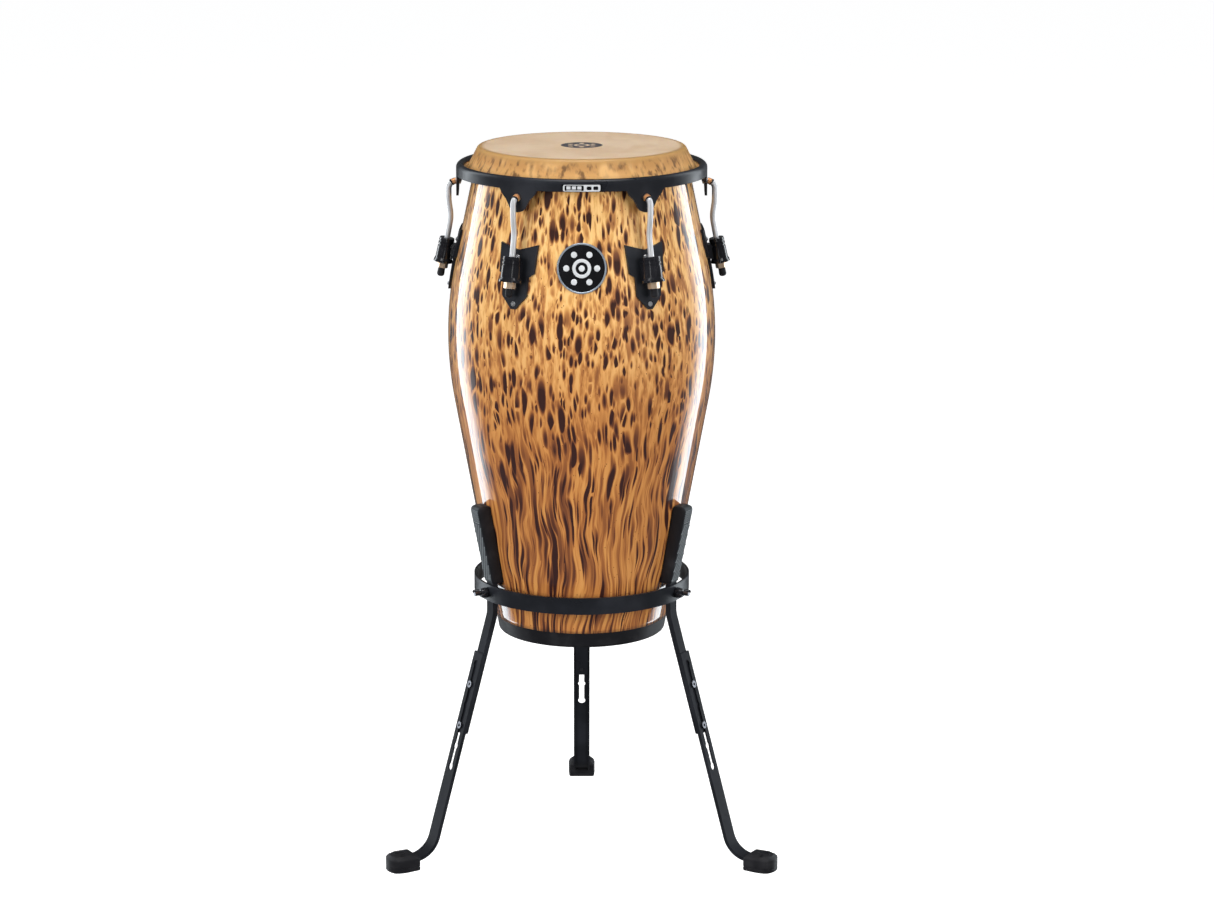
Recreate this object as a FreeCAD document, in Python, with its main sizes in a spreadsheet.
# Conga drum standing in a three-legged basket stand.
# Row frame: +Z up, origin on the floor under the middle of the whole outline, -Y is the front.
# Millimetres and degrees throughout.
import FreeCAD, Part
import math
import os
import re
import Sketcher

Vector = FreeCAD.Vector
Rotation = FreeCAD.Rotation
Placement = FreeCAD.Placement
UP = Vector(0, 0, 1)

# ---------------------------------------------------------------- driving dimensions
DIMENSIONS = [
    ("drum_axis_y", -65.1, "drum axis, along Y from the row origin"),
    ("past", 20.0, "how far a cutting outline runs past the solid"),
    # shell
    ("shell_top", 1039.2, "crest of the bearing edge"),
    ("shell_bottom", 334.0, "bottom edge of the staves"),
    ("shell_wall", 9.0, "stave thickness"),
    ("belly_radius", 193.9, "outer radius at the widest place"),
    ("belly_height", 767.0, "height of the widest place"),
    ("belly_arc", 527.6, "radius of the belly's lengthwise curve"),
    ("upper_lean", 11.87, "lean of the straight stretch above the belly"),
    ("lower_lean", 10.42, "lean of the straight stretch below the belly"),
    ("edge_round", 4.6, "rounding of the bearing edge"),
    ("rebate_top", 348.6, "top of the rebate that holds the bottom ring"),
    ("rebate_depth", 3.0, "depth of that rebate"),
    ("ring_floor", 325.9, "underside of the bottom ring"),
    # head, hoop and rim
    ("head_top", 1041.0, "playing surface"),
    ("skin_thick", 1.7, "thickness of the skin"),
    ("head_flat_radius", 145.0, "radius of the flat playing surface"),
    ("shoulder_round", 6.5, "outer rounding of the skin's shoulder"),
    ("skirt_lean", 27.0, "flare of the skin below the shoulder"),
    ("skirt_end", 1008.5, "lower end of the skin"),
    ("hoop_radius", 170.9, "centre-line radius of the flesh hoop"),
    ("hoop_rod", 4.5, "radius of the flesh hoop's rod"),
    ("hoop_height", 1005.7, "height of the flesh hoop"),
    ("rim_outer", 180.6, "outer radius of the rim"),
    ("rim_wall", 3.4, "thickness of the rim"),
    ("rim_crest_radius", 175.3, "radius of the rim's highest line"),
    ("rim_crest", 1017.4, "height of the rim's highest line"),
    ("rim_shoulder", 1011.3, "height where the rim starts to round over"),
    ("rim_outer_round", 7.54, "rounding from the rim's side to its crest"),
    ("rim_inner_round", 6.8, "rounding from the crest to the inner lip"),
    ("rim_lip_radius", 169.2, "radius of the rim's inner lip"),
    ("rim_lip", 1012.3, "height of the rim's inner lip"),
    ("rim_lower", 1000.0, "lower edge of the rim between its plates"),
    ("plate_tip", 968.0, "lowest point of a hanging plate"),
    ("plate_hole", 5.6, "radius of the hook hole"),
    ("plate_hole_height", 988.8, "height of the hook hole"),
    ("plate_half", 30.0, "half width of a plate where it leaves the rim"),
    ("plate_ear_half", 26.5, "half width at the plate's ears"),
    ("plate_ear_drop", 6.5, "rim's lower edge to the ears"),
    ("plate_cheek_half", 19.0, "half width at the plate's cheeks"),
    ("plate_cheek_drop", 14.0, "rim's lower edge to the cheeks"),
    ("plate_tongue_half", 13.0, "half width of the rounded tongue"),
    ("plate_tongue_rise", 7.0, "lowest point to where the tongue's curve ends"),
    ("plate_tip_round", 15.6, "rounding of the tongue"),
    # tuning hooks, nuts and caps
    ("hook_rod", 4.0, "radius of the hook rod"),
    ("hook_end_radius", 173.0, "inner end of the hook"),
    ("hook_crest", 989.7, "height of the hook's top bend"),
    ("hook_inner_bend", 22.0, "bend of the hook inside the plate"),
    ("hook_top_bend", 11.5, "bend of the hook over the plate"),
    ("hook_outer", 191.4, "furthest radius of the hook's upper run"),
    ("hook_run_end", 965.0, "lower end of the upright run"),
    ("hook_mid_bend", 60.0, "bend from upright to leaning in"),
    ("hook_lean_in", 8.06, "lean of the middle run towards the shell"),
    ("hook_low_bend", 50.0, "bend from the middle run to the lug run"),
    ("lug_lean", 10.7, "lean of the hook's lug run away from the shell"),
    ("lug_radius", 197.4, "radius of the lug axis at the lug's mid height"),
    ("lug_height", 889.4, "mid height of the lug"),
    ("lug_bore", 4.4, "radius of the lug's through hole"),
    ("lug_half", 17.8, "half the lug's length along its axis"),
    ("lug_wide", 14.2, "half the barrel's width"),
    ("lug_deep", 11.6, "half the barrel's depth"),
    ("lug_flare", 3.2, "how far the barrel's lower end stands out, and its length"),
    ("lug_groove_depth", 1.1, "depth of the barrel's grooves"),
    ("lug_foot_width", 19.0, "width of the foot behind the barrel"),
    ("lug_foot_low", 10.0, "mid height to the foot's lower edge"),
    ("lug_foot_high", 10.0, "mid height to the foot's upper edge"),
    ("nut_across", 14.5, "nut size across its flats"),
    ("nut_height", 8.5, "nut height"),
    ("nut_bore", 4.06, "nut thread, as a running fit on the rod"),
    ("nut_gap", 0.3, "gap between the lug and its nut"),
    ("cap_radius", 5.4, "radius of the rod's rubber cap"),
    ("cap_length", 12.5, "length of the rod's rubber cap"),
    ("cap_wall", 3.0, "closed end of the cap"),
    # lug backing plates, lug screws and shell badge
    ("backing_gap", 0.1, "gap between shell and backing plate"),
    ("backing_thick", 3.6, "thickness of the backing plate"),
    ("backing_half", 30.0, "half width of the backing plate"),
    ("backing_top", 923.0, "upper corners of the backing plate"),
    ("backing_notch", 914.5, "bottom of the notch in its upper edge"),
    ("backing_wing", 883.0, "lower corners of its wings"),
    ("backing_neck", 877.0, "upper end of its narrow part"),
    ("backing_neck_half", 19.8, "half width of its narrow part"),
    ("backing_waist", 851.0, "lower end of its narrow part"),
    ("backing_tip", 832.5, "lowest point of the backing plate"),
    ("backing_tip_half", 3.5, "half width of the blunt tip"),
    ("screw_head", 3.6, "radius of a lug screw's head"),
    ("screw_rise", 1.8, "height of a lug screw's head"),
    ("badge_radius", 34.0, "radius of the shell badge"),
    ("badge_height", 892.6, "centre height of the shell badge"),
    ("badge_thick", 1.8, "thickness of the shell badge"),
    ("rim_badge_angle", 17.5, "angle that the rim badge spans"),
    # basket ring, arms and pads
    ("ring_outer", 158.3, "outer radius of the stand ring"),
    ("ring_wall", 3.5, "thickness of the stand ring"),
    ("ring_low", 385.8, "lower edge of the stand ring"),
    ("ring_high", 410.1, "upper edge of the stand ring"),
    ("ring_bolt_height", 398.0, "height of the ring bolts"),
    ("bar_radius", 150.3, "radius of a bar's centre line at the ring"),
    ("bar_thick", 7.75, "thickness of a bar"),
    ("bar_width", 18.5, "width of a bar"),
    ("bar_top_radius", 168.6, "radius of a bar's upper end"),
    ("bar_top", 516.0, "height of a bar's upper end"),
    ("bar_upper_bend", 416.0, "height of the bar's bend above the ring"),
    ("bar_lower_bend", 365.6, "height of the bar's bend below the ring"),
    ("bar_bend", 40.0, "radius of the bar's lower bend"),
    ("bar_end", 192.0, "height of a bar's lower end"),
    ("leg_lean", 16.25, "lean of the legs away from upright"),
    ("pad_width", 25.0, "width of an arm pad"),
    ("pad_top", 529.2, "upper end of a pad"),
    ("pad_low", 412.5, "lower end of a pad"),
    ("pad_top_face", 180.8, "outer radius of a pad at its upper end"),
    ("pad_low_face", 155.8, "outer radius of a pad at its lower end"),
    ("pad_gap", 0.3, "gap between pad and shell"),
    ("pad_round", 9.0, "rounding of a pad's upper end"),
    # bolts of the stand
    ("bolt_rod", 3.0, "radius of the stand's bolts"),
    ("bolt_hole", 3.3, "radius of the holes for those bolts"),
    ("bolt_head", 6.5, "radius of a ring bolt's head"),
    ("bolt_head_rise", 2.6, "height of a ring bolt's head"),
    ("bolt_tip_radius", 180.5, "outer end of a ring bolt"),
    ("wing_bore", 3.06, "thread of a wing nut, as a running fit"),
    ("wing_base", 158.8, "inner face of a wing nut"),
    ("wing_hub", 6.5, "radius of a wing nut's hub"),
    ("wing_hub_tip", 5.0, "radius of the hub's outer end"),
    ("wing_hub_length", 11.0, "length of the hub"),
    ("wing_half", 15.0, "half span of the wings"),
    ("wing_thick", 4.0, "thickness of the wings"),
    ("wing_root", 4.3, "half width at which the wings leave the hub"),
    ("wing_rise", 16.5, "height of the wings' tips above the inner face"),
    # lower legs and feet
    ("leg_top", 309.0, "upper end of a lower leg"),
    ("leg_width", 24.5, "width of a lower leg"),
    ("leg_wall", 2.3, "wall of a lower leg"),
    ("leg_depth", 5.2, "depth of a lower leg's channel"),
    ("leg_gap", 0.3, "gap between the bar and the lower leg"),
    ("leg_bend", 36.0, "radius of a lower leg's bend into its foot"),
    ("leg_bend_height", 42.0, "height where that bend begins"),
    ("slot_half", 3.8, "half width of the slot"),
    ("notch_radius", 5.6, "radius of the slot's notches"),
    ("notch_pitch", 31.0, "spacing of the notches along the leg"),
    ("first_notch", 17.5, "upper end of the leg to its first notch"),
    ("leg_bolt_head", 5.2, "radius of a leg bolt's head"),
    ("leg_bolt_rise", 2.4, "height of a leg bolt's head"),
    ("leg_bolt_socket", 2.4, "radius of its hexagon socket"),
    ("foot_inner", 281.4, "inner end of a foot"),
    ("foot_outer", 325.5, "outer end of a foot"),
    ("foot_width", 41.0, "width of a foot"),
    ("foot_height", 24.0, "height of a foot"),
    ("foot_chamfer", 5.0, "bevel round a foot's top"),
    ("foot_straight", 22.0, "length of a foot's straight sides"),
    ("foot_nose", 5.6, "length of a foot's rounded nose"),
    ("foot_nose_half_cut", 4.0, "narrowing of the foot where its nose begins"),
    ("foot_nose_round", 27.0, "rounding of the nose"),
    ("tongue_end", 312.0, "end of the leg inside the foot"),
]
DERIVED = [
    ("low_tangent_radius", "belly_radius - belly_arc * (1 - cos(lower_lean))"),
    ("low_tangent_height", "belly_height - belly_arc * sin(lower_lean)"),
    ("high_tangent_radius", "belly_radius - belly_arc * (1 - cos(upper_lean))"),
    ("high_tangent_height", "belly_height + belly_arc * sin(upper_lean)"),
    ("belly_centre", "belly_radius - belly_arc"),
]

LUG_COUNT = 6
LUG_AZIMUTHS = [30.0 + 360.0 / LUG_COUNT * index for index in range(LUG_COUNT)]
LEG_AZIMUTHS = {"right": 60.0, "rear": 180.0, "left": -60.0}
FRONT = -90.0                       # the X axis turned to face the front
LEG_LEVEL = "314.9"                 # height at which the leg line is given
LEG_FACE = "169.05"                 # outer face of the bar at that height

doc = FreeCAD.newDocument("conga_drum")
sheet = doc.addObject("Spreadsheet::Sheet", "Dims")
NAMES = [entry[0] for entry in DIMENSIONS] + [entry[0] for entry in DERIVED]
subparts = []


def fill_sheet():
    for line, (name, number, meaning) in enumerate(DIMENSIONS, start=1):
        sheet.set("A%d" % line, meaning)
        sheet.set("B%d" % line, "%g" % number)
        sheet.setAlias("B%d" % line, name)
    for line, (name, formula) in enumerate(DERIVED, start=len(DIMENSIONS) + 1):
        sheet.set("A%d" % line, "worked out")
        sheet.set("B%d" % line, "=" + formula)
        sheet.setAlias("B%d" % line, name)
    doc.recompute()


def bound(text):
    """The expression with each dimension name pointing into the sheet."""
    def point(word):
        return "Dims." + word.group() if word.group() in NAMES else word.group()
    return re.sub(r"[a-z_]+", point, text)


def size(text):
    """The expression's value in millimetres or degrees."""
    return float(sheet.evalExpression(bound(text)))


# ---------------------------------------------------------------- helpers for bodies and sketches
def body(label, turn=FRONT):
    """A body whose own Z is the drum axis and whose own X points outwards at this turn."""
    made = doc.addObject("PartDesign::Body", label)
    made.Label = label
    made.Placement = Placement(Vector(0, 0, 0), Rotation(UP, turn))
    made.setExpression("Placement.Base.y", bound("drum_axis_y"))
    subparts.append(made)
    return made


def sketch(owner, plane, lift="0", tilt=None):
    """A sketch on one of the body's origin planes, lifted along the plane's normal."""
    made = owner.newObject("Sketcher::SketchObject", "sketch")
    support = [item for item in owner.Origin.OriginFeatures if item.Role == plane][0]
    made.AttachmentSupport = [(support, "")]
    made.MapMode = "FlatFace"
    if lift != "0":
        made.setExpression("AttachmentOffset.Base.z", bound(lift))
    if tilt is not None:
        across, angle = tilt
        made.AttachmentOffset = Placement(Vector(0, 0, 0), Rotation(Vector(0, 1, 0), 1))
        made.setExpression("AttachmentOffset.Base.x", bound(across))
        made.setExpression("AttachmentOffset.Base.z", bound(lift))
        made.setExpression("AttachmentOffset.Rotation.Angle", bound(angle))
    return made


def pin_point(target, edge, end, across, along):
    """Hold one end of an edge at bound distances from the sketch's origin."""
    first = target.addConstraint([
        Sketcher.Constraint("DistanceX", -1, 1, edge, end, size(across)),
        Sketcher.Constraint("DistanceY", -1, 1, edge, end, size(along)),
    ])[0]
    target.setExpression("Constraints[%d]" % first, bound(across))
    target.setExpression("Constraints[%d]" % (first + 1), bound(along))


def outline(target, corners, arcs=None, closed=True):
    """Draw corners joined by lines, or by arcs of a bound radius (+1 bows left of the way, -1 right)."""
    arcs = arcs or {}
    spots = [Vector(size(across), size(along), 0) for across, along in corners]
    count = len(spots)
    ends = []
    for index in range(count if closed else count - 1):
        start = spots[index]
        finish = spots[(index + 1) % count]
        if index in arcs:
            radius, side = arcs[index]
            chord = finish - start
            rise = size(radius) - math.sqrt(size(radius) ** 2 - (chord.Length / 2) ** 2)
            left = Vector(-chord.y, chord.x, 0).normalize()
            middle = (start + finish) / 2 + left * rise * side
            edge = target.addGeometry(Part.Arc(start, middle, finish), False)
            bend = target.addConstraint(Sketcher.Constraint("Radius", edge, size(radius)))
            target.setExpression("Constraints[%d]" % bend, bound(radius))
        else:
            edge = target.addGeometry(Part.LineSegment(start, finish), False)
        forwards = (target.getPoint(edge, 1) - start).Length < (target.getPoint(edge, 2) - start).Length
        ends.append((edge, 1, 2) if forwards else (edge, 2, 1))
    for index, (edge, start_end, finish_end) in enumerate(ends):
        pin_point(target, edge, start_end, *corners[index])
        if closed or index + 1 < len(ends):
            following = ends[(index + 1) % len(ends)]
            joined = Sketcher.Constraint("Coincident", edge, finish_end, following[0], following[1])
            target.addConstraint(joined)
        else:
            pin_point(target, edge, finish_end, *corners[-1])
    return target


def circle(target, across, along, radius):
    edge = target.addGeometry(Part.Circle(Vector(size(across), size(along), 0), UP, size(radius)), False)
    pin_point(target, edge, 3, across, along)
    bend = target.addConstraint(Sketcher.Constraint("Radius", edge, size(radius)))
    target.setExpression("Constraints[%d]" % bend, bound(radius))
    return target


def rectangle(target, low_across, low_along, high_across, high_along):
    corners = [(low_across, low_along), (high_across, low_along),
               (high_across, high_along), (low_across, high_along)]
    return outline(target, corners)


def feature(owner, kind, profile):
    made = owner.newObject("PartDesign::" + kind, kind.lower())
    made.Profile = profile
    return made


def revolve(owner, profile, angle=None, cut=False):
    made = feature(owner, "Groove" if cut else "Revolution", profile)
    made.ReferenceAxis = (profile, ["V_Axis"])
    if angle is None:
        made.Angle = 360.0
    else:
        made.Midplane = True
        made.setExpression("Angle", bound(angle))
    doc.recompute()
    return made


def pad(owner, profile, length, middle=True, reverse=False):
    made = feature(owner, "Pad", profile)
    made.Midplane = middle
    made.Reversed = reverse
    made.setExpression("Length", bound(length))
    doc.recompute()
    return made


def pocket(owner, profile, length, middle=False, reverse=True):
    """Cut the profile; the volume has to drop, because a pocket that points away cuts nothing."""
    before = owner.Shape.Volume
    made = feature(owner, "Pocket", profile)
    made.Midplane = middle
    made.Reversed = reverse
    made.setExpression("Length", bound(length))
    doc.recompute()
    if owner.Shape.Volume >= before:
        raise RuntimeError("a pocket in %s cuts nothing" % owner.Label)
    return made


def pipe(owner, profile, path):
    made = feature(owner, "AdditivePipe", profile)
    made.Spine = (path, [])
    made.Transition = "Right corner"
    doc.recompute()
    return made


def ring_pattern(owner, originals, count):
    made = owner.newObject("PartDesign::PolarPattern", "pattern")
    made.Originals = originals
    axis = [item for item in owner.Origin.OriginFeatures if item.Role == "Z_Axis"][0]
    made.Axis = (axis, [""])
    made.Angle = 360.0
    made.Occurrences = count
    owner.Tip = made
    doc.recompute()
    return made


# ---------------------------------------------------------------- where the shell's surface lies
def low_radius(height, depth="0"):
    """Radius of the straight stretch below the belly, this deep under the outer surface."""
    return "low_tangent_radius - (low_tangent_height - (%s)) * tan(lower_lean) - (%s) / cos(lower_lean)" % (
        height, depth)


def high_radius(height, depth="0"):
    """Radius of the straight stretch above the belly."""
    return "high_tangent_radius - ((%s) - high_tangent_height) * tan(upper_lean) - (%s) / cos(upper_lean)" % (
        height, depth)


def belly_at(height, depth="0"):
    """Radius of the belly's arc."""
    return "belly_centre + sqrt((belly_arc - (%s))^2 - ((%s) - belly_height)^2)" % (depth, height)


def low_tangent(depth="0"):
    return ("low_tangent_radius - (%s) * cos(lower_lean)" % depth,
            "low_tangent_height + (%s) * sin(lower_lean)" % depth)


def high_tangent(depth="0"):
    return ("high_tangent_radius - (%s) * cos(upper_lean)" % depth,
            "high_tangent_height - (%s) * sin(upper_lean)" % depth)


# ---------------------------------------------------------------- the drum
def make_shell():
    shell = body("shell")
    edge_foot = "shell_top - edge_round"
    crest_radius = high_radius(edge_foot) + " - edge_round"
    inner_edge = "shell_top - 11"
    corners = [
        (low_radius("shell_bottom", "rebate_depth"), "shell_bottom"),
        (low_radius("rebate_top", "rebate_depth"), "rebate_top"),
        (low_radius("rebate_top"), "rebate_top"),
        low_tangent(),
        high_tangent(),
        (high_radius(edge_foot), edge_foot),
        (crest_radius, "shell_top"),
        (high_radius(inner_edge, "shell_wall"), inner_edge),
        high_tangent("shell_wall"),
        low_tangent("shell_wall"),
        (low_radius("shell_bottom", "shell_wall"), "shell_bottom"),
    ]
    arcs = {3: ("belly_arc", -1), 5: ("edge_round", 1), 8: ("belly_arc - shell_wall", 1)}
    profile = outline(sketch(shell, "XZ_Plane"), corners, arcs)
    revolve(shell, profile)


def make_bottom_ring():
    """A rubber ring that fills the rebate and wraps under the staves."""
    ring = body("bottom_ring")
    gap = "0.05"
    corners = [
        (low_radius("rebate_top - " + gap, "rebate_depth - " + gap), "rebate_top - " + gap),
        (low_radius("shell_bottom", "rebate_depth - " + gap), "shell_bottom - " + gap),
        (low_radius("shell_bottom", "shell_wall"), "shell_bottom - " + gap),
        (low_radius("shell_bottom", "shell_wall - 1.5"), "ring_floor"),
        (low_radius("ring_floor", "5.5"), "ring_floor"),
        (low_radius("ring_floor + 5"), "ring_floor + 5"),
        (low_radius("rebate_top - " + gap), "rebate_top - " + gap),
    ]
    profile = outline(sketch(ring, "XZ_Plane"), corners, {4: ("5.6", -1)})
    revolve(ring, profile)


def make_head():
    head = body("head_skin")
    centre = "head_top - shoulder_round"
    inner = "shoulder_round - skin_thick"
    fall = "(head_top - shoulder_round * (1 - sin(skirt_lean)) - skirt_end)"
    hem = "head_flat_radius + shoulder_round * cos(skirt_lean) + %s * tan(skirt_lean)" % fall
    corners = [
        ("0", "head_top"),
        ("0", "head_top - skin_thick"),
        ("head_flat_radius", "head_top - skin_thick"),
        ("head_flat_radius + (%s) * cos(skirt_lean)" % inner,
         "%s + (%s) * sin(skirt_lean)" % (centre, inner)),
        (hem + " - skin_thick * cos(skirt_lean)", "skirt_end - skin_thick * sin(skirt_lean)"),
        (hem, "skirt_end"),
        ("head_flat_radius + shoulder_round * cos(skirt_lean)",
         "%s + shoulder_round * sin(skirt_lean)" % centre),
        ("head_flat_radius", "head_top"),
    ]
    arcs = {2: (inner, 1), 6: ("shoulder_round", -1)}
    profile = outline(sketch(head, "XZ_Plane"), corners, arcs)
    revolve(head, profile)


def make_flesh_hoop():
    hoop = doc.addObject("Part::Torus", "flesh_hoop")
    hoop.Label = "flesh_hoop"
    hoop.setExpression("Radius1", bound("hoop_radius"))
    hoop.setExpression("Radius2", bound("hoop_rod"))
    hoop.setExpression("Placement.Base.y", bound("drum_axis_y"))
    hoop.setExpression("Placement.Base.z", bound("hoop_height"))
    subparts.append(hoop)


def make_rim():
    """A rolled rim with six plates hanging from it, one over each lug."""
    rim = body("rim", LUG_AZIMUTHS[0] + FRONT)
    skirt = "plate_tip - 1"
    inner_crest = "rim_crest - rim_wall"
    corners = [
        ("rim_outer - rim_wall", skirt),
        ("rim_outer", skirt),
        ("rim_outer", "rim_shoulder"),
        ("rim_crest_radius", "rim_crest"),
        ("rim_lip_radius", "rim_lip"),
        ("rim_lip_radius + 2.6", "rim_lip - 1.2"),
        ("rim_crest_radius - 0.4", inner_crest),
        ("rim_outer - rim_wall", "rim_shoulder"),
    ]
    arcs = {2: ("rim_outer_round", -1), 3: ("rim_inner_round", -1),
            5: ("rim_inner_round - 2", 1), 6: ("rim_outer_round - 2.94", 1)}
    profile = outline(sketch(rim, "XZ_Plane"), corners, arcs)
    revolve(rim, profile)
    reach = "rim_outer * sin(30) + 2"
    below = "plate_tip - 10"
    gaps = [
        ("-(%s)" % reach, below),
        (reach, below),
        (reach, "rim_lower"),
        ("plate_half", "rim_lower"),
        ("plate_ear_half", "rim_lower - plate_ear_drop"),
        ("plate_cheek_half", "rim_lower - plate_cheek_drop"),
        ("plate_tongue_half", "plate_tip + plate_tongue_rise"),
        ("-plate_tongue_half", "plate_tip + plate_tongue_rise"),
        ("-plate_cheek_half", "rim_lower - plate_cheek_drop"),
        ("-plate_ear_half", "rim_lower - plate_ear_drop"),
        ("-plate_half", "rim_lower"),
        ("-(%s)" % reach, "rim_lower"),
    ]
    between = outline(sketch(rim, "YZ_Plane"), gaps, {6: ("plate_tip_round", 1)})
    cut = pocket(rim, between, "rim_outer + past")
    opening = circle(sketch(rim, "YZ_Plane"), "0", "plate_hole_height", "plate_hole")
    hole = pocket(rim, opening, "rim_outer + past")
    ring_pattern(rim, [cut, hole], LUG_COUNT)


def make_rim_badge():
    badge = body("rim_badge")
    face = rectangle(sketch(badge, "XZ_Plane"), "rim_outer + 0.05", "rim_lower + 0.8",
                     "rim_outer + 1.1", "rim_shoulder - 0.6")
    revolve(badge, face, "rim_badge_angle")


def shell_patch(owner, low, high, gap, thickness, angle):
    """A patch that hugs the shell's curved surface, between two heights."""
    near = "-(%s)" % gap
    far = "-(%s + %s)" % (gap, thickness)
    corners = [
        (belly_at(low, near), low),
        (belly_at(low, far), low),
        high_tangent(far),
        (high_radius(high, far), high),
        (high_radius(high, near), high),
        high_tangent(near),
    ]
    arcs = {1: ("belly_arc + %s + %s" % (gap, thickness), -1), 5: ("belly_arc + %s" % gap, 1)}
    revolve(owner, outline(sketch(owner, "XZ_Plane"), corners, arcs), angle)


def frame_around(target, half, low, high):
    """The outer frame of a cut that leaves only what is drawn inside it."""
    return rectangle(target, "-(%s)" % half, low, half, high)


def make_backing_plate(label, turn):
    plate = body(label, turn)
    shell_patch(plate, "backing_tip - 2", "backing_top + 2", "backing_gap", "backing_thick", "24")
    trim = frame_around(sketch(plate, "YZ_Plane"), "backing_half + past",
                        "backing_tip - past", "backing_top + past")
    half = [
        ("backing_half", "backing_top"),
        ("backing_half - 2", "backing_wing"),
        ("backing_neck_half", "backing_neck"),
        ("backing_neck_half", "backing_waist"),
        ("backing_tip_half", "backing_tip"),
    ]
    mirrored = [("-(%s)" % across, along) for across, along in reversed(half)]
    outline(trim, [("0", "backing_notch")] + half + mirrored)
    pocket(plate, trim, "belly_radius + 2 * past")


def make_shell_badge():
    badge = body("shell_badge")
    shell_patch(badge, "badge_height - badge_radius - 2", "badge_height + badge_radius + 2",
                "backing_gap", "badge_thick", "28")
    trim = frame_around(sketch(badge, "YZ_Plane"), "badge_radius + past",
                        "badge_height - badge_radius - past", "badge_height + badge_radius + past")
    circle(trim, "0", "badge_height", "badge_radius")
    pocket(badge, trim, "belly_radius + 2 * past")


def along_lug(distance):
    """The point this far up the lug axis from the lug's middle."""
    return ("lug_radius - (%s) * sin(lug_lean)" % distance, "lug_height + (%s) * cos(lug_lean)" % distance)


def ellipse_section(owner, distance, half_across, half_deep):
    """A rounded section square to the lug axis: wide along Y and shallow along X."""
    across, height = along_lug(distance)
    target = sketch(owner, "XY_Plane", height, (across, "-lug_lean"))
    deep = size(half_deep)
    wide = size(half_across)
    edge = target.addGeometry(Part.Ellipse(Vector(0, wide, 0), Vector(deep, 0, 0), Vector(0, 0, 0)), False)
    target.exposeInternalGeometry(edge)
    pin_point(target, edge, 3, "0", "0")
    major = target.addConstraint(Sketcher.Constraint("Distance", edge + 1, 2 * wide))
    minor = target.addConstraint(Sketcher.Constraint("Distance", edge + 2, 2 * deep))
    target.addConstraint(Sketcher.Constraint("Vertical", edge + 1))
    target.setExpression("Constraints[%d]" % major, bound("2 * (%s)" % half_across))
    target.setExpression("Constraints[%d]" % minor, bound("2 * (%s)" % half_deep))
    return target


def make_lug(label, turn):
    """A ribbed barrel on the lug axis, with a foot that reaches the backing plate."""
    lug = body(label, turn)
    sections = [
        ("-lug_half", "lug_wide + lug_flare", "lug_deep + lug_flare - 1"),
        ("-lug_half + lug_flare", "lug_wide + lug_flare - 0.4", "lug_deep + lug_flare - 1.4"),
        ("-lug_half + 2 * lug_flare", "lug_wide + 0.4", "lug_deep + 0.4"),
    ]
    for groove in ("lug_half - 12.5", "lug_half - 7"):
        sections += [
            (groove, "lug_wide - 0.2", "lug_deep - 0.2"),
            (groove + " + 0.6", "lug_wide - 0.2 - lug_groove_depth", "lug_deep - 0.2 - lug_groove_depth"),
            (groove + " + 2", "lug_wide - 0.2 - lug_groove_depth", "lug_deep - 0.2 - lug_groove_depth"),
            (groove + " + 2.6", "lug_wide - 0.3", "lug_deep - 0.3"),
        ]
    sections.append(("lug_half", "lug_wide - 1.2", "lug_deep - 1"))
    drawn = [ellipse_section(lug, *section) for section in sections]
    barrel = feature(lug, "AdditiveLoft", drawn[0])
    barrel.Sections = drawn[1:]
    barrel.Ruled = True
    doc.recompute()
    foot = outline(sketch(lug, "XZ_Plane"), [
        ("high_tangent_radius - 6", "lug_height - lug_foot_low - 1"),
        ("lug_radius", "lug_height - lug_foot_low - 4"),
        ("lug_radius - 3", "lug_height + lug_foot_high"),
        ("high_tangent_radius - 10", "lug_height + lug_foot_high - 3"),
    ])
    pad(lug, foot, "lug_foot_width")
    near = "-(backing_gap + backing_thick + 0.05)"
    behind = outline(sketch(lug, "XZ_Plane"), [
        ("high_tangent_radius - 40", "lug_height - 60"),
        (belly_at("lug_height - 60", near), "lug_height - 60"),
        high_tangent(near),
        (high_radius("lug_height + 60", near), "lug_height + 60"),
        ("high_tangent_radius - 40", "lug_height + 60"),
    ], {1: ("belly_arc + backing_gap + backing_thick + 0.05", -1)})
    revolve(lug, behind, cut=True)
    across, height = along_lug("-lug_half - 10")
    bore = circle(sketch(lug, "XY_Plane", height, (across, "-lug_lean")), "0", "0", "lug_bore")
    pocket(lug, bore, "2 * lug_half + 30")


def make_lug_screws():
    """Two screws through each backing plate, all in one node."""
    screws = []
    for turn in LUG_AZIMUTHS:
        for height in ("backing_notch - 9.5", "backing_tip + 7.5"):
            screws.append(make_screw(turn + FRONT, height))
    group = doc.addObject("Part::Compound", "lug_screws")
    group.Label = "lug_screws"
    group.Links = screws
    subparts.append(group)


def make_screw(turn, height):
    """A low domed head, square to the backing plate's outer face."""
    near = "-(backing_gap + backing_thick)"
    on_belly = size(height) < size("high_tangent_height")
    surface = size(belly_at(height, near) if on_belly else high_radius(height, near))
    lean = size("asin(((%s) - belly_height) / belly_arc)" % height) if on_belly else size("upper_lean")
    head = doc.addObject("Part::Cone", "screw_head")
    head.setExpression("Radius1", bound("screw_head"))
    head.setExpression("Radius2", bound("screw_head * 0.6"))
    head.setExpression("Height", bound("screw_rise"))
    outwards = Rotation(UP, turn)
    spot = outwards.multVec(Vector(surface + 0.05, 0, size(height)))
    square = outwards * Rotation(Vector(0, 1, 0), 90 - lean)
    head.Placement = Placement(spot + Vector(0, size("drum_axis_y"), 0), square)
    return head


HOOK_TIP = "-lug_half - 2 * nut_gap - nut_height - cap_length + cap_wall"


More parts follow.
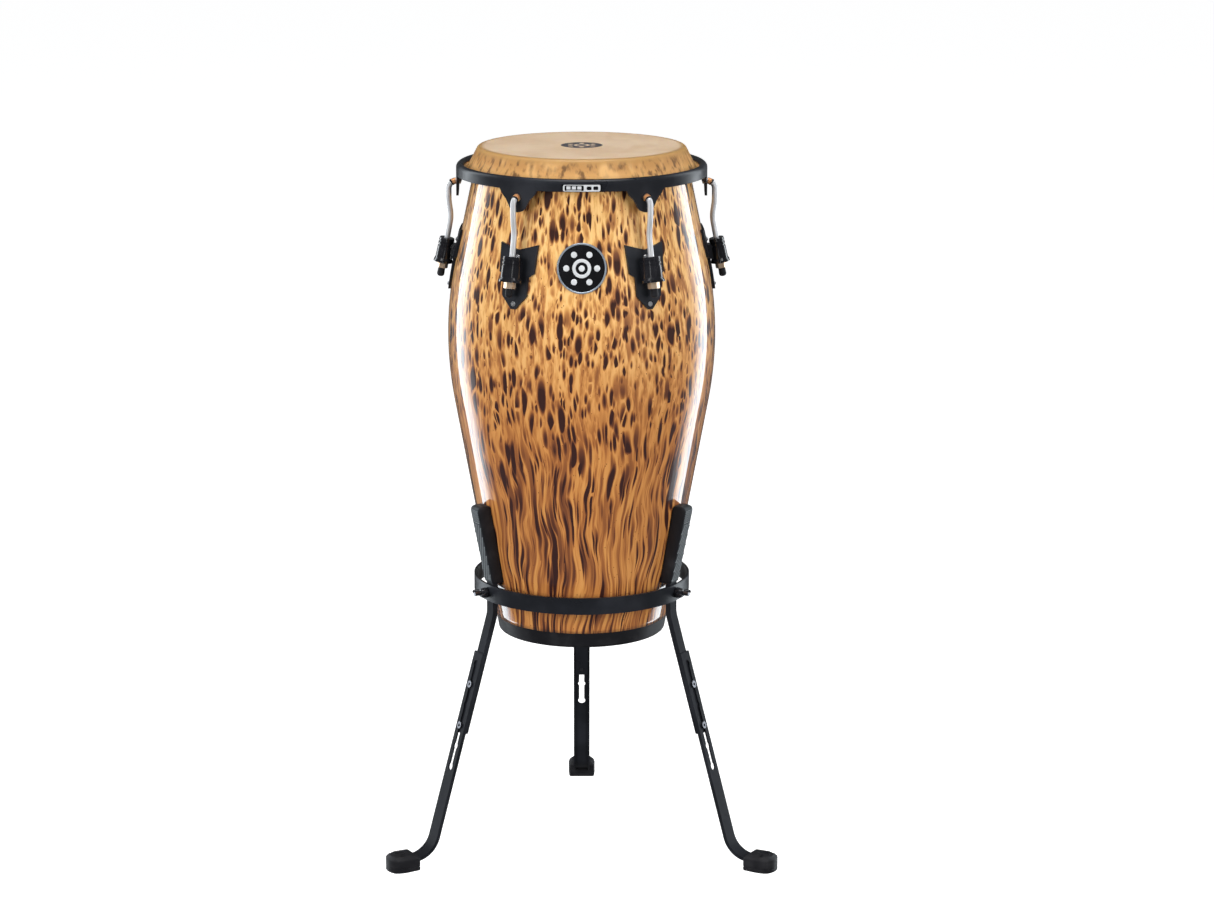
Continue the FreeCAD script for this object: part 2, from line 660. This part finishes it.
def hook_path(target):
    """The hook's centre line, from its inner end, over the plate's hole and down through the lug."""
    crest_radius = "hook_outer - hook_top_bend"
    inner_drop = "(hook_inner_bend - sqrt(hook_inner_bend^2 - (%s - hook_end_radius)^2))" % crest_radius
    run_radius = "hook_outer - hook_mid_bend * (1 - cos(hook_lean_in))"
    run_height = "hook_run_end - hook_mid_bend * sin(hook_lean_in)"
    bend_across = "hook_low_bend * (cos(hook_lean_in) - cos(lug_lean))"
    bend_down = "hook_low_bend * (sin(hook_lean_in) + sin(lug_lean))"
    # the middle run ends where the low bend meets the line of the lug axis
    fall = ("((%s) - (lug_radius - (%s - (%s) - lug_height) * tan(lug_lean)) + %s)"
            " / (tan(hook_lean_in) + tan(lug_lean))" % (run_radius, run_height, bend_down, bend_across))
    bend_top = ("(%s) - %s * tan(hook_lean_in)" % (run_radius, fall), "(%s) - %s" % (run_height, fall))
    corners = [
        ("hook_end_radius", "hook_crest - " + inner_drop),
        (crest_radius, "hook_crest"),
        ("hook_outer", "hook_crest - hook_top_bend"),
        ("hook_outer", "hook_run_end"),
        (run_radius, run_height),
        bend_top,
        ("%s + %s" % (bend_top[0], bend_across), "%s - %s" % (bend_top[1], bend_down)),
        along_lug(HOOK_TIP),
    ]
    arcs = {0: ("hook_inner_bend", 1), 1: ("hook_top_bend", 1),
            3: ("hook_mid_bend", 1), 5: ("hook_low_bend", -1)}
    return outline(target, corners, arcs, closed=False)


def make_hook(label, turn):
    hook = body(label, turn)
    path = hook_path(sketch(hook, "XZ_Plane"))
    across, height = along_lug(HOOK_TIP)
    section = circle(sketch(hook, "XY_Plane", height, (across, "-lug_lean")), "0", "0", "hook_rod")
    doc.recompute()
    pipe(hook, section, path)


def on_lug_axis(made, turn, distance):
    """Place a body whose own Z is the lug axis."""
    across, height = along_lug(distance)
    outwards = Rotation(UP, turn)
    spot = outwards.multVec(Vector(size(across), 0, size(height))) + Vector(0, size("drum_axis_y"), 0)
    made.setExpression("Placement.Base.y", None)
    made.Placement = Placement(spot, outwards * Rotation(Vector(0, 1, 0), -size("lug_lean")))


def make_nut(label, turn):
    nut = body(label, turn)
    corner = "nut_across / 2 / cos(30)"
    hexagon = [("(%s) * cos(%d)" % (corner, angle), "(%s) * sin(%d)" % (corner, angle))
               for angle in range(0, 360, 60)]
    pad(nut, outline(sketch(nut, "XY_Plane"), hexagon), "nut_height", middle=False)
    bevel = outline(sketch(nut, "XZ_Plane"), [
        (corner + " + 1", "-1"), (corner + " + 1", "1.6"), ("nut_across / 2 - 0.6", "-1")])
    revolve(nut, bevel, cut=True)
    bore = circle(sketch(nut, "XY_Plane", "-5"), "0", "0", "nut_bore")
    pocket(nut, bore, "nut_height + 10")
    on_lug_axis(nut, turn, "-lug_half - nut_gap - nut_height")


def make_cap(label, turn):
    """A rubber cap pushed over the threaded end of the hook."""
    cap = body(label, turn)
    profile = outline(sketch(cap, "XZ_Plane"), [
        ("0", "0"),
        ("cap_radius - 4", "0"),
        ("cap_radius", "4"),
        ("cap_radius - 0.4", "cap_length"),
        ("hook_rod", "cap_length"),
        ("hook_rod", "cap_wall - nut_gap"),
        ("0", "cap_wall - nut_gap"),
    ], {1: ("4", -1)})
    revolve(cap, profile)
    on_lug_axis(cap, turn, "-lug_half - 2 * nut_gap - nut_height - cap_length")


# ---------------------------------------------------------------- the basket stand
def make_stand_ring():
    ring = body("stand_ring")
    strip = rectangle(sketch(ring, "XZ_Plane"), "ring_outer - ring_wall", "ring_low",
                      "ring_outer", "ring_high")
    revolve(ring, strip)
    for turn in (-30, 90, 210):
        hole = sketch(ring, "YZ_Plane")
        hole.AttachmentOffset = Placement(Vector(0, 0, 0), Rotation(Vector(0, 1, 0), turn - FRONT))
        pocket(ring, circle(hole, "0", "ring_bolt_height", "bolt_hole"), "ring_outer + past")


def bar_outline(target):
    """The side outline of a bar: up the shell, past the ring and down the leg."""
    half = "(bar_thick / 2)"
    lean_top = "atan((bar_top_radius - bar_radius) / (bar_top - bar_upper_bend))"
    sides = []
    for sign in ("+", "-"):
        face = "bar_radius %s %s" % (sign, half)
        level = "bar_lower_bend %s (%s) * tan(leg_lean / 2)" % (sign, half)
        tangent = "(bar_bend - (%s%s)) * tan(leg_lean / 2)" % (sign, half)
        sides.append([
            ("bar_top_radius %s %s * cos(%s)" % (sign, half, lean_top),
             "bar_top - (%s%s) * sin(%s)" % (sign, half, lean_top)),
            (face, "bar_upper_bend - (%s%s) * tan(%s / 2)" % (sign, half, lean_top)),
            (face, "%s + %s" % (level, tangent)),
            ("%s + %s * sin(leg_lean)" % (face, tangent), "%s - %s * cos(leg_lean)" % (level, tangent)),
            ("%s + (%s - bar_end) * tan(leg_lean)" % (face, level), "bar_end"),
        ])
    outer, inner = sides
    corners = outer + list(reversed(inner))
    return outline(target, corners, {2: ("bar_bend - " + half, -1), 6: ("bar_bend + " + half, 1)})


def leg_frame(made, turn):
    """Place a body whose own -Z runs down the leg and whose own X = 0 is the bar's outer face."""
    outwards = Rotation(UP, turn)
    spot = outwards.multVec(Vector(size(LEG_FACE), 0, size(LEG_LEVEL))) + Vector(0, size("drum_axis_y"), 0)
    made.setExpression("Placement.Base.y", None)
    made.Placement = Placement(spot, outwards * Rotation(Vector(0, 1, 0), -size("leg_lean")))


NOTCHES = 6
BOLT_NOTCHES = (1, 3)               # counted from 0 at the top


def notch_place(index):
    """How far a notch lies along the leg's own Z."""
    return "(leg_top - %s) / cos(leg_lean) - first_notch - %d * notch_pitch" % (LEG_LEVEL, index)


def make_bar(label, turn):
    bar = body(label, turn)
    profile = bar_outline(sketch(bar, "XZ_Plane"))
    pad(bar, profile, "bar_width")
    hole = circle(sketch(bar, "YZ_Plane"), "0", "ring_bolt_height", "bolt_hole")
    pocket(bar, hole, "bar_radius + past")
    for index in BOLT_NOTCHES:
        drop = notch_place(index)
        level = "%s + (%s) * cos(leg_lean)" % (LEG_LEVEL, drop)
        across = "%s - (%s) * sin(leg_lean)" % (LEG_FACE, drop)
        # the drilling runs square to the leaning bar
        drill = sketch(bar, "YZ_Plane")
        drill.AttachmentOffset = Placement(Vector(0, 0, 0), Rotation(Vector(1, 0, 0), 1))
        drill.setExpression("AttachmentOffset.Base.y", bound(level))
        drill.setExpression("AttachmentOffset.Base.z", bound(across))
        drill.setExpression("AttachmentOffset.Rotation.Angle", bound("-leg_lean"))
        pocket(bar, circle(drill, "0", "0", "bolt_hole"), "60", middle=True)


def make_pad(label, turn):
    """A rubber sleeve on the arm, its back shaped to the shell."""
    cushion = body(label, turn)
    slope = "((pad_top_face - pad_low_face) / (pad_top - pad_low))"
    corners = [
        ("pad_low_face", "pad_low"),
        ("pad_top_face - %s * pad_round" % slope, "pad_top - pad_round"),
        ("pad_top_face - pad_round", "pad_top"),
        ("pad_top_face - 30", "pad_top"),
        ("pad_low_face - 30", "pad_low"),
    ]
    pad(cushion, outline(sketch(cushion, "XZ_Plane"), corners, {1: ("pad_round + 0.4", -1)}), "pad_width")
    gap = "-pad_gap"
    inside = outline(sketch(cushion, "XZ_Plane"), [
        ("60", "pad_low - past"),
        (low_radius("pad_low - past", gap), "pad_low - past"),
        (low_radius("pad_top + past", gap), "pad_top + past"),
        ("60", "pad_top + past"),
    ])
    revolve(cushion, inside, cut=True)
    reach = "(bar_thick / 2 + 0.05)"
    lean_top = "atan((bar_top_radius - bar_radius) / (bar_top - bar_upper_bend))"
    socket = outline(sketch(cushion, "XZ_Plane"), [
        ("bar_radius + %s" % reach, "pad_low - past"),
        ("bar_radius + %s" % reach, "bar_upper_bend - %s * tan(%s / 2)" % (reach, lean_top)),
        ("bar_top_radius + %s * cos(%s)" % (reach, lean_top),
         "bar_top - %s * sin(%s) + 0.05" % (reach, lean_top)),
        ("bar_top_radius - %s * cos(%s)" % (reach, lean_top),
         "bar_top + %s * sin(%s) + 0.05" % (reach, lean_top)),
        ("bar_radius - %s" % reach, "bar_upper_bend + %s * tan(%s / 2)" % (reach, lean_top)),
        ("bar_radius - %s" % reach, "pad_low - past"),
    ])
    pocket(cushion, socket, "bar_width + 0.1", middle=True)


def make_ring_bolts():
    bolts = []
    for turn in LEG_AZIMUTHS.values():
        shank = doc.addObject("Part::Cylinder", "ring_bolt_shank")
        shank.setExpression("Radius", bound("bolt_rod"))
        shank.setExpression("Height", bound("bolt_tip_radius - bar_radius + bar_thick / 2"))
        head = doc.addObject("Part::Cylinder", "ring_bolt_head")
        head.setExpression("Radius", bound("bolt_head"))
        head.setExpression("Height", bound("bolt_head_rise"))
        head.setExpression("Placement.Base.z", bound("-bolt_head_rise - 0.05"))
        bolt = doc.addObject("Part::Fuse", "ring_bolt")
        bolt.Base = head
        bolt.Tool = shank
        shank.Placement = Placement(Vector(0, 0, -1), Rotation())
        outwards = Rotation(UP, turn + FRONT)
        start = Vector(size("bar_radius - bar_thick / 2"), 0, size("ring_bolt_height"))
        spot = outwards.multVec(start) + Vector(0, size("drum_axis_y"), 0)
        bolt.Placement = Placement(spot, outwards * Rotation(Vector(0, 1, 0), 90))
        bolts.append(bolt)
    group = doc.addObject("Part::Compound", "ring_bolts")
    group.Label = "ring_bolts"
    group.Links = bolts
    subparts.append(group)


def make_wing_nut(label, turn):
    nut = body(label, turn)
    tip = "wing_base + wing_hub_length"
    hub = outline(sketch(nut, "XY_Plane", "ring_bolt_height"), [
        ("wing_base", "wing_bore"),
        ("wing_base", "wing_hub"),
        (tip, "wing_hub_tip"),
        (tip, "wing_bore"),
    ])
    turned = feature(nut, "Revolution", hub)
    turned.ReferenceAxis = (hub, ["H_Axis"])
    turned.Angle = 360.0
    doc.recompute()
    for side in ("", "-"):
        wing = outline(sketch(nut, "XY_Plane", "ring_bolt_height"), [
            ("wing_base + 3", side + "wing_root"),
            ("wing_base + 6", side + "(wing_half - 4)"),
            ("wing_base + wing_hub_length - 1", side + "wing_half"),
            ("wing_base + wing_rise - 0.5", side + "(wing_half - 1)"),
            ("wing_base + wing_rise", side + "(wing_half - 4)"),
            ("wing_base + wing_rise - 7", side + "wing_root"),
        ])
        pad(nut, wing, "wing_thick")


def make_lower_leg(label, turn):
    """A folded channel with a notched slot, bent outwards at the bottom into its foot."""
    leg = body(label, turn)
    top = "(leg_top - %s) / cos(leg_lean)" % LEG_LEVEL
    bend_start = "(leg_bend_height - %s) / cos(leg_lean)" % LEG_LEVEL
    web = "leg_gap + leg_wall"
    sweep = "(90 - leg_lean)"
    bend_end = ("%s + leg_bend * (1 - cos(%s))" % (web, sweep),
                "%s - leg_bend * sin(%s)" % (bend_start, sweep))
    bend_radius = "%s + (%s) * cos(leg_lean) - (%s) * sin(leg_lean) + leg_bend * cos(leg_lean)" % (
        LEG_FACE, web, bend_start)
    foot_run = "(tongue_end - (%s))" % bend_radius
    path = outline(sketch(leg, "XZ_Plane"), [
        (web, top),
        (web, bend_start),
        bend_end,
        ("%s + %s * cos(leg_lean)" % (bend_end[0], foot_run),
         "%s - %s * sin(leg_lean)" % (bend_end[1], foot_run)),
    ], {1: ("leg_bend", -1)}, closed=False)
    half = "leg_width / 2"
    inner = "(leg_width / 2 - leg_wall)"
    section = outline(sketch(leg, "XY_Plane", top), [
        (web, "-" + half),
        (web, half),
        ("%s - leg_depth" % web, half),
        ("%s - leg_depth" % web, inner),
        ("leg_gap", inner),
        ("leg_gap", "-" + inner),
        ("%s - leg_depth" % web, "-" + inner),
        ("%s - leg_depth" % web, "-" + half),
    ])
    doc.recompute()
    pipe(leg, section, path)
    last = NOTCHES - 1
    slot = rectangle(sketch(leg, "YZ_Plane", "-past"), "-slot_half", notch_place(last),
                     "slot_half", notch_place(0))
    pocket(leg, slot, "2 * past")
    for index in range(NOTCHES):
        notch = circle(sketch(leg, "YZ_Plane", "-past"), "0", notch_place(index), "notch_radius")
        pocket(leg, notch, "2 * past")
    leg_frame(leg, turn)


def make_leg_bolts(label, turn):
    """Two socket-headed bolts that clamp the lower leg to the bar."""
    bolts = []
    outwards = Rotation(UP, turn)
    lean = outwards * Rotation(Vector(0, 1, 0), -size("leg_lean"))
    start = outwards.multVec(Vector(size(LEG_FACE), 0, size(LEG_LEVEL))) + Vector(0, size("drum_axis_y"), 0)
    for index in BOLT_NOTCHES:
        shank = doc.addObject("Part::Cylinder", "leg_bolt_shank")
        shank.setExpression("Radius", bound("bolt_rod"))
        shank.setExpression("Height", bound("bar_thick + leg_gap * 2 + leg_wall + 1"))
        shank.Placement = Placement(Vector(0, 0, -size("bar_thick")), Rotation())
        head = doc.addObject("Part::Cylinder", "leg_bolt_head")
        head.setExpression("Radius", bound("leg_bolt_head"))
        head.setExpression("Height", bound("leg_bolt_rise"))
        head.Placement = Placement(Vector(0, 0, size("leg_gap * 2 + leg_wall")), Rotation())
        whole = doc.addObject("Part::Fuse", "leg_bolt_blank")
        whole.Base = shank
        whole.Tool = head
        socket = doc.addObject("Part::Prism", "leg_bolt_socket")
        socket.Polygon = 6
        socket.setExpression("Circumradius", bound("leg_bolt_socket"))
        socket.Height = 5.0
        socket.Placement = Placement(Vector(0, 0, size("leg_gap * 2 + leg_wall + 0.8")), Rotation())
        bolt = doc.addObject("Part::Cut", "leg_bolt")
        bolt.Base = whole
        bolt.Tool = socket
        spot = start + lean.multVec(Vector(0, 0, size(notch_place(index))))
        bolt.Placement = Placement(spot, lean * Rotation(Vector(0, 1, 0), 90))
        bolts.append(bolt)
    group = doc.addObject("Part::Compound", label)
    group.Label = label
    group.Links = bolts
    subparts.append(group)


def make_foot(label, turn):
    """A rubber foot with a rounded outer end, pushed over the leg's tongue."""
    foot = body(label, turn)
    half = "foot_width / 2"
    plan = outline(sketch(foot, "XY_Plane"), [
        ("foot_inner", "-(%s - 1)" % half),
        ("foot_inner + foot_straight", "-" + half),
        ("foot_outer - foot_nose", "-(%s - foot_nose_half_cut)" % half),
        ("foot_outer - foot_nose", "%s - foot_nose_half_cut" % half),
        ("foot_inner + foot_straight", half),
        ("foot_inner", "%s - 1" % half),
    ], {2: ("foot_nose_round", -1)})
    block = pad(foot, plan, "foot_height", middle=False)
    rims = edges_at_height(block, "foot_height")
    bevel = foot.newObject("PartDesign::Chamfer", "bevel")
    bevel.Base = (block, rims)
    bevel.setExpression("Size", bound("foot_chamfer"))
    doc.recompute()
    tongue_top = "leg_bend_height + (leg_gap + leg_wall) * sin(leg_lean) - leg_bend * (1 - sin(leg_lean))"
    slot = rectangle(sketch(foot, "XZ_Plane"), "foot_inner - past", "%s - leg_depth - 0.1" % tongue_top,
                     "tongue_end + 0.2", "%s + 0.4" % tongue_top)
    pocket(foot, slot, "leg_width + 0.2", middle=True)


def edges_at_height(owner, height):
    """Names of the edges that lie wholly at this height."""
    level = size(height)
    names = []
    for number, edge in enumerate(owner.Shape.Edges, start=1):
        box = edge.BoundBox
        if abs(box.ZMin - level) < 0.01 and abs(box.ZMax - level) < 0.01:
            names.append("Edge%d" % number)
    return names


# ---------------------------------------------------------------- build, test and write
def build_all():
    make_shell()
    make_bottom_ring()
    make_head()
    make_flesh_hoop()
    make_rim()
    make_rim_badge()
    make_shell_badge()
    make_lug_screws()
    for number, azimuth in enumerate(LUG_AZIMUTHS, start=1):
        turn = azimuth + FRONT
        make_backing_plate("lug_plate_%d" % number, turn)
        make_lug("lug_%d" % number, turn)
        make_hook("hook_%d" % number, turn)
        make_nut("hook_nut_%d" % number, turn)
        make_cap("hook_cap_%d" % number, turn)
    make_stand_ring()
    make_ring_bolts()
    for side, azimuth in LEG_AZIMUTHS.items():
        turn = azimuth + FRONT
        make_bar("leg_bar_" + side, turn)
        make_pad("pad_" + side, turn)
        make_wing_nut("wing_nut_" + side, turn)
        make_lower_leg("lower_leg_" + side, turn)
        make_leg_bolts("leg_bolts_" + side, turn)
        make_foot("foot_" + side, turn)


def check_all():
    faults = []
    for item in doc.Objects:
        if "Invalid" in item.State or "Error" in item.State:
            faults.append("%s (%s) is %s" % (item.Name, item.Label, item.State))
    for made in subparts:
        if made.Shape.isNull() or not made.Shape.isValid():
            faults.append("%s has no valid shape" % made.Label)
    if faults:
        raise RuntimeError("; ".join(faults))


def write_all():
    os.makedirs("parts", exist_ok=True)
    whole = FreeCAD.BoundBox()
    for made in subparts:
        made.Shape.exportStep("parts/%s.step" % made.Label)
        whole.add(made.Shape.BoundBox)
        print("%-20s %8.1f cm3, %d solid(s)" % (made.Label, made.Shape.Volume / 1000, len(made.Shape.Solids)))
    print(len(subparts), "nodes;", whole)


fill_sheet()
build_all()
doc.recompute()
check_all()
write_all()
